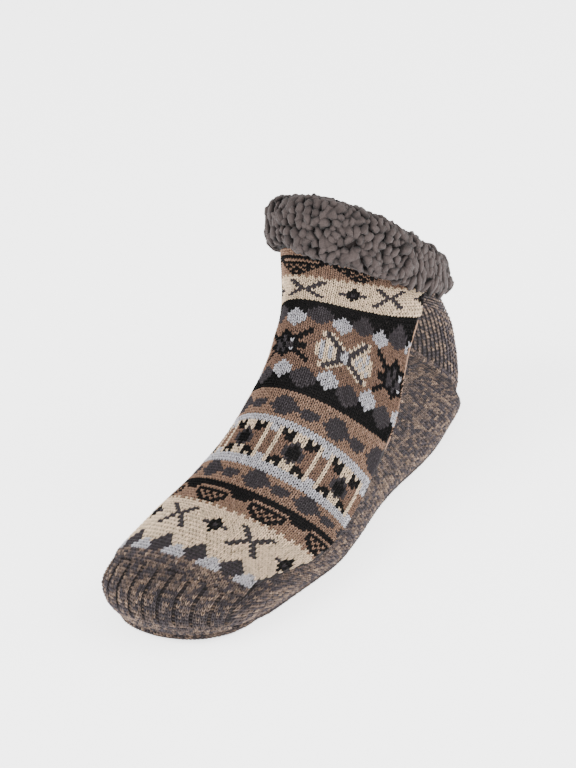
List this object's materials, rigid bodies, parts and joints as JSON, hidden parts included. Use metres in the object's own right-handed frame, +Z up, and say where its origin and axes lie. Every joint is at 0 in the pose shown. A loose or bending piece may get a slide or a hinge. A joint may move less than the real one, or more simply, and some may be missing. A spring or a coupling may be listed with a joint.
{
  "type": "slipper sock",
  "caption": "Ankle-high knitted slipper sock with a turned-down curly pile cuff, a patterned instep panel, a ribbed toe and a thin soft sole, standing empty.",
  "frame": {"origin": "under the middle of the sock's bounding box, on the plane that it stands on", "axes": "+Z up, toe towards -Y, heel towards +Y, +X towards the outer side of a left foot"},
  "size_m": [0.1062, 0.2754, 0.1681],
  "materials": {
    "marl_knit": "matt marled knit",
    "patterned_knit": "matt patterned knit",
    "cuff_pile": "curly pile",
    "sole_felt": "thin matt felt",
    "lining_pile": "short curly pile"
  },
  "bodies": {
    "root": {"upper": "marl_knit", "sole": "sole_felt", "instep_panel": "patterned_knit", "sherpa_cuff": "cuff_pile", "insole": "lining_pile"}
  },
  "joints": []
}
